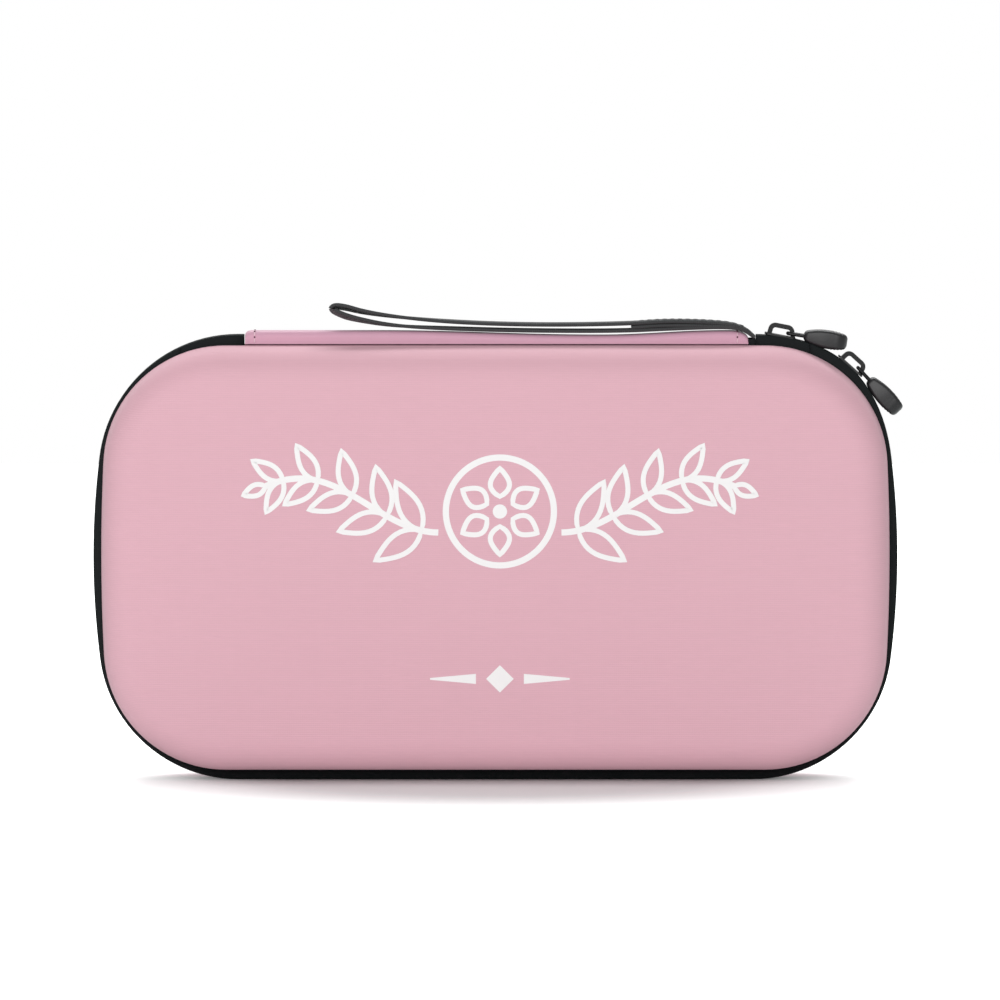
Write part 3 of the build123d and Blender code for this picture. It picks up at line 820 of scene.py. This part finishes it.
def stitch(shape, start, end, radius):
    """One stitch of thread, a rounded rod that dives in at both its ends."""
    a = Vector(start) * MM
    b = Vector(end) * MM
    along = (b - a).normalized()
    turn = along.to_track_quat("Z", "Y").to_matrix().to_4x4()
    turn.translation = (a + b) / 2
    made = bmesh.ops.create_uvsphere(shape, u_segments=8, v_segments=6, radius=radius * MM)
    stretch = (b - a).length / (2 * radius * MM)
    for vert in made["verts"]:
        vert.co = turn @ Vector((vert.co.x, vert.co.y, vert.co.z * stretch))


def stitches(name, body, rows, material, slot, radius=STITCH_R):
    """Rows of stitches, each a list of start and end points."""
    shape = bmesh.new()
    for start, end in rows:
        stitch(shape, start, end, radius)
    mesh = bpy.data.meshes.new(name)
    shape.to_mesh(mesh)
    shape.free()
    return settle(keep_object(name, mesh, material, 60), body, slot)


def walk(points, pitch, length):
    """Stitches of a length, one each pitch, along a line of points."""
    made = []
    wanted = pitch / 2
    gone = 0.0
    for a, b in zip(points, points[1:]):
        run = math.dist(a, b)
        while run > 0 and wanted <= gone + run:
            at = Vector(a).lerp(Vector(b), (wanted - gone) / run)
            way = (Vector(b) - Vector(a)).normalized() * length / 2
            made.append((at - way, at + way))
            wanted += pitch
        gone += run
    return made


def strip_stitches():
    rows = []
    holes = []
    for x in (STITCH_LEFT_X, STITCH_RIGHT_X):
        over = [(x, y, z) for y, z in arch(x, 0.05, 12)]
        made = walk(over, STITCH_PITCH, STITCH_L)
        rows += made
        for (_, end), (start, _) in zip(made, made[1:]):
            gap = end.lerp(start, 0.5)
            reach = Vector((HOLE_HALF_L, 0, 0))
            holes.append((gap - reach, gap + reach))
    stitches("strip_thread", "spine", rows, THREAD, "spine_fabric")
    # small dark rods in the gaps between stitches: painted shade of the needle holes
    stitches("strip_needle_holes", "spine", holes, NEEDLE_HOLE_SHADE, "spine_fabric", HOLE_R)


# ---------------------------------------------------------------- webbing
def smoothed(points, times=3):
    """The points of a line whose corners are cut off again and again."""
    for _ in range(times):
        cut = [points[0]]
        for a, b in zip(points, points[1:]):
            cut.append(tuple(p + (q - p) * 0.25 for p, q in zip(a, b)))
            cut.append(tuple(p + (q - p) * 0.75 for p, q in zip(a, b)))
        cut.append(points[-1])
        points = cut
    return points


def webbing_section(half_w, thickness):
    """A flat section with round edges, as (across, up)."""
    r = thickness * 0.45
    flat = half_w - r
    section = []
    for side in (1, -1):
        for step in range(7):
            turn = math.pi / 2 - math.pi * step / 6
            section.append((side * (flat + r * math.cos(turn)),
                            side * thickness / 2 * math.sin(turn)))
        for step in (1, 2, 3):
            section.append((side * flat * (1 - step / 2), -side * thickness / 2))
    return section


def webbing(name, path, across, half_w, thickness, material, twist=None):
    """Flat webbing along a path; across is its width's direction."""
    section = webbing_section(half_w, thickness)
    section.append(section[0])
    columns = []
    gone = 0.0
    for i, here in enumerate(path):
        before = Vector(path[max(i - 1, 0)])
        after = Vector(path[min(i + 1, len(path) - 1)])
        along = (after - before).normalized()
        if i > 0:
            gone += math.dist(path[i - 1], here)
        wide = Vector(across)
        up = along.cross(wide).normalized()
        if twist is not None:
            angle = twist(Vector(here))
            wide, up = (wide * math.cos(angle) + up * math.sin(angle),
                        up * math.cos(angle) - wide * math.sin(angle))
        column = []
        for a, b in section:
            column.append((tuple(Vector(here) + wide * a + up * b), (gone, a)))
        columns.append(column)
    return skin(name, columns, material, solid=True, smooth_under=50)


def from_root(points):
    return [(ROOT_X - left, 0.0, ROOT_Z + up) for left, up in points]


def strap_twist(place):
    left = ROOT_X - place.x
    share = max(0.0, min(1.0, (left - TWIST_FROM) / (TWIST_TO - TWIST_FROM)))
    return TWIST * share * share


def wrist_strap():
    def turned(place):
        """The twist has its sign from the layer, so that both faces lean the same way."""
        upper = place.z > ROOT_Z + loop_middle(ROOT_X - place.x)
        return strap_twist(place) * (1 if upper else -1)

    loop = smoothed(from_root(STRAP_LOOP))
    piece = webbing("wrist_strap_loop", loop, (0, 1, 0), WEBBING_HALF_W, WEBBING_T, WEBBING, turned)
    settle(piece, "wrist_strap", "strap_webbing", "wrist_strap")
    tail = webbing("wrist_strap_tail", smoothed(from_root(STRAP_TAIL)), (0, 1, 0),
                   WEBBING_HALF_W, WEBBING_T, WEBBING)
    settle(tail, "wrist_strap", "strap_webbing")
    rows = []
    seam = smoothed(from_root(STRAP_LOOP[1:5]))
    for y in (-STRAP_SEAM_Y, STRAP_SEAM_Y):
        top = [(x, y, z + WEBBING_T / 2) for x, _, z in seam]
        rows += walk(top, STRAP_STITCH_PITCH, STRAP_STITCH_L)
    stitches("strap_thread", "wrist_strap", rows, DARK_THREAD, "strap_webbing", STRAP_THREAD_R)


def loop_middle(left):
    """Height of the open loop's middle line over the root, near its far end."""
    share = max(0.0, (left - LOOP_OPENS_AT) / LOOP_OPEN_L)
    return LOOP_MIDDLE + LOOP_MIDDLE_RISE * share ** 1.6


# ---------------------------------------------------------------- pull tags
def tag_half_height(along):
    """Half the lens shape's height; the ribs are shallow waves near its far end."""
    t = along / TAG_L
    ends = TAG_NEAR_T + (TAG_FAR_T - TAG_NEAR_T) * t
    belly = 4 * t * (1 - t) * (TAG_T - (TAG_NEAR_T + TAG_FAR_T) / 2)
    ribs = 0.0
    if TAG_RIBS_FROM < along < TAG_L - TAG_EDGE_R:
        ribs = TAG_RIB_DEPTH * math.sin(2 * math.pi * (along - TAG_RIBS_FROM) / TAG_RIB_STEP)
    return (ends + belly) / 2 + ribs


def tag_half_width(along):
    """Half the lens shape's width, with a round far end."""
    widening = math.sin(math.pi / 2 * min(1.0, along / TAG_WIDENS_TO))
    half = (TAG_NEAR_W + (TAG_W - TAG_NEAR_W) * widening) / 2
    past = along - (TAG_L - TAG_FAR_R)
    if past > 0:
        half -= TAG_FAR_R - math.sqrt(max(0.0, TAG_FAR_R ** 2 - past ** 2))
    return half


def tag_section(along, shrink):
    """A rounded section of the tag as (y, up), with its edges drawn in by shrink."""
    half_w = tag_half_width(along) - shrink
    half_h = tag_half_height(along) - shrink
    edge = min(TAG_EDGE_R, half_w, half_h)
    section = []
    for quarter in range(4):
        side = 1 if quarter in (0, 3) else -1
        up = 1 if quarter < 2 else -1
        for step in range(7):
            turn = math.pi / 2 * (quarter + step / 6)
            section.append((side * (half_w - edge) + edge * math.cos(turn),
                            up * (half_h - edge) + edge * math.sin(turn)))
    return section + section[:1]


def pull_tag(number):
    """The moulded grip of one pull, round at its edges."""
    eye_x, eye_z, heading = EYES[number - 1]
    turn = math.radians(heading)
    rows = []
    for step in range(5):
        angle = math.pi / 2 * step / 5
        rows.append((TAG_EDGE_R * (1 - math.cos(angle)), TAG_EDGE_R * (1 - math.sin(angle))))
    steps = 60
    for step in range(steps + 1):
        rows.append((TAG_EDGE_R + (TAG_L - 2 * TAG_EDGE_R) * step / steps, 0.0))
    rows += [(TAG_L - along, shrink) for along, shrink in rows[4::-1]]
    columns = []
    for along, shrink in rows:
        column = []
        for y, up in tag_section(along, shrink):
            out = TAG_FROM + along
            place = (eye_x + out * math.cos(turn) - up * math.sin(turn), y,
                     eye_z + out * math.sin(turn) + up * math.cos(turn))
            column.append((place, (along, y)))
        columns.append(column)
    piece = skin(f"tag_{number}", columns, RUBBER, solid=True, smooth_under=40)
    return settle(piece, f"pull_{number}", "moulded_rubber", f"pull_tag_{number}")


# ---------------------------------------------------------------- inside the case
def slab(name, low, high, edge, material):
    """A flat pad between two corners, with round edges."""
    shape = bmesh.new()
    bmesh.ops.create_cube(shape, size=1.0)
    for vert in shape.verts:
        place = [lo + (hi - lo) * (part + 0.5) for lo, hi, part in zip(low, high, vert.co)]
        vert.co = Vector(place) * MM
    bmesh.ops.bevel(shape, geom=shape.edges[:], offset=edge * MM, segments=3, profile=0.5,
                    affect="EDGES")
    mesh = bpy.data.meshes.new(name)
    shape.to_mesh(mesh)
    shape.free()
    return keep_object(name, mesh, material, 40)


def hold_down_straps():
    """Two ends of webbing over the coiled instrument, with hook and loop between."""
    low = HOLD_Y - HOLD_T / 2
    high = low - HOLD_T - 2 * PATCH_T
    step = HOLD_OVERLAP + PATCH_HALF_L
    under = [(0, low, MID_Z - HOLD_REACH), (0, low, MID_Z - 10), (0, low, MID_Z + HOLD_OVERLAP)]
    over = [(0, low, MID_Z + HOLD_REACH), (0, low, MID_Z + step + 3), (0, low, MID_Z + step),
            (0, high, MID_Z + HOLD_OVERLAP + 3), (0, high, MID_Z + HOLD_OVERLAP),
            (0, high, MID_Z - HOLD_OVERLAP)]
    for name, points in (("lower", under), ("upper", over)):
        piece = webbing(f"hold_down_{name}", smoothed(points), (1, 0, 0), HOLD_HALF_W, HOLD_T,
                        EDGING)
        settle(piece, "base", "inner_webbing", f"hold_down_strap_{name}")
    rows = []
    for end in (-1, 1):
        z = MID_Z + end * (HOLD_REACH - 3)
        row = [(-8.5, low - HOLD_T / 2 - 0.05, z), (8.5, low - HOLD_T / 2 - 0.05, z)]
        rows += walk(row, 2.4, 1.7)
    stitches("hold_down_thread", "base", rows, DARK_THREAD, "inner_webbing", 0.2)
    for name, above in (("loop_patch", 0), ("hook_patch", PATCH_T)):
        y1 = HOLD_Y - HOLD_T - above
        piece = slab(f"{name}_pad", (-PATCH_HALF_W, y1 - PATCH_T, MID_Z - PATCH_HALF_L),
                     (PATCH_HALF_W, y1, MID_Z + PATCH_HALF_L), 0.2, FUZZ)
        settle(piece, "base", "hook_and_loop", name)


def net_pocket():
    """A net stretched across the lower part of the lid, under a padded hem."""
    outline = RIM.inset(NET_INSET)
    rows = 16
    across = 24
    bottom = -outline.half_height + 0.3
    top = NET_TOP - MID_Z
    columns = []
    area = 0.0
    for i in range(across + 1):
        share = 2 * i / across - 1
        column = []
        for j in range(rows + 1):
            z = bottom + (top - bottom) * (j / rows) ** 1.5
            x = share * outline.half_width_at(z)
            column.append(((x, -NET_Y, MID_Z + z), (x, z)))
        columns.append(column)
    steps = 400
    for j in range(steps):
        z = bottom + (top - bottom) * (j + 0.5) / steps
        area += 2 * outline.half_width_at(z) * (top - bottom) / steps
    net = skin("net_pocket_panel", columns, NET)
    settle(net, "lid", "net", "net_pocket")
    half_w = outline.half_width_at(NET_TOP + HEM_H / 2 - MID_Z) - 0.2
    path = [(x, -NET_Y, NET_TOP + HEM_H / 2) for x in (-half_w, -half_w / 2, 0, half_w / 2, half_w)]
    hem = webbing("net_pocket_hem", path, (0, 0, 1), HEM_H / 2, HEM_T, EDGING)
    settle(hem, "lid", "bound_edge", "pocket_hem")


# ---------------------------------------------------------------- tubes
def tubes(name, lines, radius, sides, material):
    """Round rods along lines of points, all in one mesh."""
    shape = bmesh.new()
    for line in lines:
        rings = []
        side = Vector((0, 1, 0))
        for i, here in enumerate(line):
            before = Vector(line[max(i - 1, 0)])
            after = Vector(line[min(i + 1, len(line) - 1)])
            along = (after - before).normalized()
            side = (side - along * side.dot(along)).normalized()
            other = along.cross(side)
            ring = []
            for step in range(sides):
                turn = 2 * math.pi * step / sides
                offset = (side * math.cos(turn) + other * math.sin(turn)) * radius
                ring.append(shape.verts.new((Vector(here) + offset) * MM))
            rings.append(ring)
        for a, b in zip(rings, rings[1:]):
            for step in range(sides):
                after = (step + 1) % sides
                shape.faces.new((a[step], a[after], b[after], b[step]))
        shape.faces.new(rings[0][::-1])
        shape.faces.new(rings[-1])
    mesh = bpy.data.meshes.new(name)
    shape.to_mesh(mesh)
    shape.free()
    return keep_object(name, mesh, material, 60)


# ---------------------------------------------------------------- print on the lid
def on_lid(x, z, coat):
    """A point over the lid's face by a number of coats; z is the height over the table."""
    return (x, -crowned_depth(x, z - MID_Z, BAND_HALF + SHELL_DEPTH) - INK_OVER * coat, z)


def ink_ribbon(shape, points, width, closed=False, coat=1):
    """A printed line of an even width, or of a width for each of its points."""
    count = len(points)
    widths = width if hasattr(width, "__len__") else [width] * count
    pairs = []
    for i, (x, z) in enumerate(points):
        bx, bz = points[(i - 1) % count] if closed or i else points[0]
        ax, az = points[(i + 1) % count] if closed or i < count - 1 else points[-1]
        run = math.dist((ax, az), (bx, bz))
        nx, nz = -(az - bz) / run, (ax - bx) / run
        half = widths[i] / 2
        edges = [on_lid(x + nx * half * k, z + nz * half * k, coat) for k in (-1, 1)]
        pairs.append([shape.verts.new(Vector(edge) * MM) for edge in edges])
    last = count if closed else count - 1
    for i in range(last):
        a, b = pairs[i], pairs[(i + 1) % count]
        shape.faces.new((a[0], b[0], b[1], a[1]))


def arc_points(x, z, radius, start, end, steps):
    points = []
    for step in range(steps + 1):
        turn = math.radians(start + (end - start) * step / steps)
        points.append((x + radius * math.cos(turn), z + radius * math.sin(turn)))
    return points


def leaf_outline(x, z, angle, length, width):
    """A pointed leaf from its foot at (x, z), as a closed line."""
    turn = math.radians(angle)
    along = (math.cos(turn), math.sin(turn))
    aside = (-along[1], along[0])
    points = []
    for side in (1, -1):
        for step in range(12):
            t = step / 12 if side > 0 else 1 - step / 12
            bulge = side * width / 2 * math.sin(math.pi * t ** 0.8)
            points.append((x + along[0] * length * t + aside[0] * bulge,
                           z + along[1] * length * t + aside[1] * bulge))
    return points


def ink_sprig(shape, side):
    """A leafy stem that swings out from the ring to one side."""
    stem = []
    steps = 40
    for step in range(steps + 1):
        t = step / steps
        x = INK_X + side * (SPRIG_FROM + SPRIG_REACH * t)
        z = INK_Z - SPRIG_SWING * math.cos(math.pi * SPRIG_TURNS * t) + SPRIG_RAISE
        stem.append((x, z))
    ink_ribbon(shape, stem, INK_LINE)
    for i in range(LEAF_PAIRS):
        step = int((i + 0.6) * steps / LEAF_PAIRS)
        x, z = stem[step]
        ax, az = stem[min(step + 1, steps)]
        heading = math.degrees(math.atan2(az - z, ax - x))
        size = LEAF_L - LEAF_SHRINK * i
        for up in (1, -1):
            outline = leaf_outline(x, z, heading + up * LEAF_ANGLE, size, size * LEAF_SLIM)
            coat = 2 + (i + (up > 0)) % 2
            ink_ribbon(shape, outline, INK_LEAF_LINE, closed=True, coat=coat)
    x, z = stem[-1]
    bx, bz = stem[-2]
    heading = math.degrees(math.atan2(z - bz, x - bx))
    outline = leaf_outline(x, z, heading, END_LEAF_L, END_LEAF_W)
    ink_ribbon(shape, outline, INK_LEAF_LINE, closed=True, coat=4)


def lid_print():
    """A plain design in white ink: a ringed flower between two sprigs, and a rule."""
    shape = bmesh.new()
    ink_ribbon(shape, arc_points(INK_X, INK_Z, RING_R, 0, 360, 96)[:-1], INK_LINE, closed=True)
    ink_ribbon(shape, arc_points(INK_X, INK_Z, FLOWER_HEART_R / 2, 0, 360, 24)[:-1],
               FLOWER_HEART_R, closed=True)
    for petal in range(6):
        heading = 90 + 60 * petal
        turn = math.radians(heading)
        foot_x = INK_X + PETAL_FROM * math.cos(turn)
        foot_z = INK_Z + PETAL_FROM * math.sin(turn)
        outline = leaf_outline(foot_x, foot_z, heading, PETAL_L, PETAL_W)
        ink_ribbon(shape, outline, INK_LEAF_LINE, closed=True)
    for side in (1, -1):
        ink_sprig(shape, side)
    for side in (1, -1):
        rule = [(INK_X + side * (8.0 + 1.7 * step), RULE_Z) for step in range(10)]
        ink_ribbon(shape, rule, [RULE_W * (1 - step / 11) for step in range(10)])
    ink_ribbon(shape, [(INK_X - DIAMOND, RULE_Z), (INK_X, RULE_Z), (INK_X + DIAMOND, RULE_Z)],
               [0.05, 2 * DIAMOND, 0.05])
    mesh = bpy.data.meshes.new("lid_print")
    bmesh.ops.recalc_face_normals(shape, faces=shape.faces)
    shape.to_mesh(mesh)
    shape.free()
    return settle(keep_object("lid_print", mesh, INK), "lid", "cover_weave")


# ---------------------------------------------------------------- camera and light
def look(thing, target):
    way = Vector(target) - thing.location
    thing.rotation_euler = way.to_track_quat("-Z", "Y").to_euler()


def camera():
    data = bpy.data.cameras.new("camera")
    data.sensor_width = 36.0
    data.lens = data.sensor_width * VIEW_DISTANCE / (PHOTO_MM * IMAGE_PX)
    data.clip_start = 0.1
    data.clip_end = 20.0
    piece = bpy.data.objects.new("camera", data)
    bpy.context.scene.collection.objects.link(piece)
    target = Vector((VIEW_X, -BAND_HALF, VIEW_Z)) * MM
    away = Vector((0, -math.cos(VIEW_RISE), math.sin(VIEW_RISE)))
    piece.location = target + away * VIEW_DISTANCE * MM
    look(piece, target)
    bpy.context.scene.camera = piece


def softbox(name, place, target, size, watts):
    data = bpy.data.lights.new(name, "AREA")
    data.shape = "RECTANGLE"
    data.size, data.size_y = size
    data.energy = watts
    piece = bpy.data.objects.new(name, data)
    bpy.context.scene.collection.objects.link(piece)
    piece.location = place
    look(piece, target)


def world(level):
    """Plain studio light, white where camera rays and transmitted rays look at it."""
    made = bpy.data.worlds.new("studio")
    bpy.context.scene.world = made
    made.use_nodes = True
    tree = made.node_tree
    back = tree.nodes["Background"]
    back.inputs["Color"].default_value = (1, 1, 1, 1)
    path = tree.nodes.new("ShaderNodeLightPath")
    white = tree.nodes.new("ShaderNodeMath")
    white.operation = "MAXIMUM"
    tree.links.new(path.outputs["Is Camera Ray"], white.inputs[0])
    tree.links.new(path.outputs["Is Transmission Ray"], white.inputs[1])
    ranged = tree.nodes.new("ShaderNodeMapRange")
    ranged.inputs["To Min"].default_value = level
    ranged.inputs["To Max"].default_value = 1.0
    tree.links.new(white.outputs[0], ranged.inputs["Value"])
    tree.links.new(ranged.outputs["Result"], back.inputs["Strength"])


def floor():
    """A white table that keeps the case's shadow near the case; further out it glows for the
    camera, painted light that turns it plain white.
    """
    shader = Shader("white_table", (0.88, 0.93, 0.92, 1), 0.9, Specular_IOR_Level=0.1)
    tree = shader.tree
    path = tree.nodes.new("ShaderNodeLightPath")
    spread = shader.add("ShaderNodeMapping", Scale=(1 / GLOW_FADE_X / MM, 1 / GLOW_FADE_Y / MM, 0),
                        Vector=shader.add("ShaderNodeTexCoord").outputs["Object"])
    away = shader.add("ShaderNodeVectorMath", {"operation": "LENGTH"},
                      Vector=spread.outputs["Vector"])
    # painted light: the table glows for camera rays, with no glow near the case and full glow
    # beyond the glow's reach
    clear = shader.add("ShaderNodeMapRange", {"interpolation_type": "SMOOTHSTEP"},
                       Value=away.outputs["Value"], From_Min=0.45, From_Max=1.2)
    glow = shader.math("MULTIPLY", path.outputs["Is Camera Ray"], clear.outputs["Result"])
    shader.base.inputs["Emission Color"].default_value = (1, 1, 1, 1)
    shader.feed(glow, shader.base.inputs["Emission Strength"])
    size = TABLE_HALF * MM
    corners = [(-size, -size, 0), (size, -size, 0), (size, size, 0), (-size, size, 0)]
    mesh = bpy.data.meshes.new("table")
    mesh.from_pydata(corners, [], [(0, 1, 2, 3)])
    mesh.materials.append(shader.material)
    piece = bpy.data.objects.new("table", mesh)
    bpy.context.scene.collection.objects.link(piece)


def paint_node(node, material):
    piece = frame["nodes"][node]
    for place in range(len(piece.material_slots)):
        piece.material_slots[place].material = material


# ---------------------------------------------------------------- making
bpy.context.scene.view_settings.view_transform = "Standard"
camera()
floor()
world(WORLD_LEVEL)
softbox("key", (-0.3, -1.9, 0.7), (0, 0, 0.08), (1.3, 0.8), KEY_WATTS)
softbox("back", (0.0, 0.8, 1.05), (0, 0, 0.05), (1.2, 0.4), BACK_WATTS)

for body, flip in (("base", False), ("lid", True)):
    cover(f"{body}_cover", body, flip)
    inner_lining(f"{body}_inside", body, flip)
    binding(f"{body}_edging", body, flip)
    long_tape(f"{body}_tape", body, flip)
    paint_node(f"{body}_foam_shell", FOAM)
    coil(f"{body}_coil", body, flip)
end_tapes()
spine_strip()
spine_lining()
strip_stitches()
wrist_strap()
hold_down_straps()
net_pocket()
lid_print()
for side in ("left", "right"):
    paint_node(f"zip_end_coil_{side}", NYLON)
for number in (1, 2):
    paint_node(f"slider_{number}", ENAMEL)
    paint_node(f"pull_link_{number}", ENAMEL)
    pull_tag(number)
